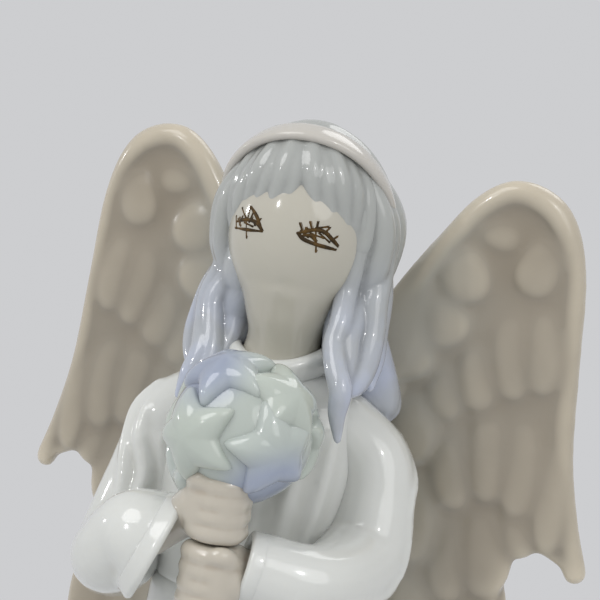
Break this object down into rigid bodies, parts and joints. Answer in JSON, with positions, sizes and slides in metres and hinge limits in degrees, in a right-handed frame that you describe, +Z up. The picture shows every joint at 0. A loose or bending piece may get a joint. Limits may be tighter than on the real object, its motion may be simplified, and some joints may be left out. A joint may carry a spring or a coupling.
{
  "type": "ceramic angel figurine",
  "caption": "Standing glazed ceramic angel with feathered wings, a long gown, loose hair and a headband, its hands closed on a short wand topped by a ball of raised stars.",
  "frame": {"origin": "centre of the foot's flat underside, on the surface that the figurine stands on", "axes": "+Z up along the figure, -Y the way the figure faces, +X the figure's own left"},
  "size_m": [0.0806, 0.0548, 0.1505],
  "materials": {
    "gown_glaze": "white body under a clear gloss glaze",
    "skin_glaze": "ivory with a faint green cast under a clear gloss glaze",
    "hand_glaze": "pale pink cream under a clear gloss glaze",
    "hair_glaze": "grey lavender under a clear gloss glaze",
    "band_glaze": "cream under a clear gloss glaze",
    "wing_glaze": "taupe wash, paler on the raised edges, under a clear gloss glaze",
    "blue_glaze": "blue lavender wash under a clear gloss glaze",
    "celadon_glaze": "pale celadon green under a clear gloss glaze"
  },
  "bodies": {
    "root": {"foot": "gown_glaze", "gown_skirt": "gown_glaze", "gown_bodice": "gown_glaze", "collar": "gown_glaze", "sleeve_left": "gown_glaze", "sleeve_right": "gown_glaze", "cuff_left": "gown_glaze", "cuff_right": "gown_glaze", "neck": "skin_glaze", "head": "skin_glaze", "hand_left": "hand_glaze", "hand_right": "hand_glaze", "wand_stem": "hand_glaze", "hair_crown": "hair_glaze", "hair_fringe": "hair_glaze", "hair_back": "hair_glaze", "hair_lock_left": "hair_glaze", "hair_lock_right": "hair_glaze", "headband": "band_glaze", "wing_left": "wing_glaze", "wing_right": "wing_glaze", "star_ball": "blue_glaze", "star_3": "blue_glaze", "star_4": "blue_glaze", "star_7": "blue_glaze", "star_1": "celadon_glaze", "star_2": "celadon_glaze", "star_5": "celadon_glaze", "star_6": "celadon_glaze"}
  },
  "joints": []
}
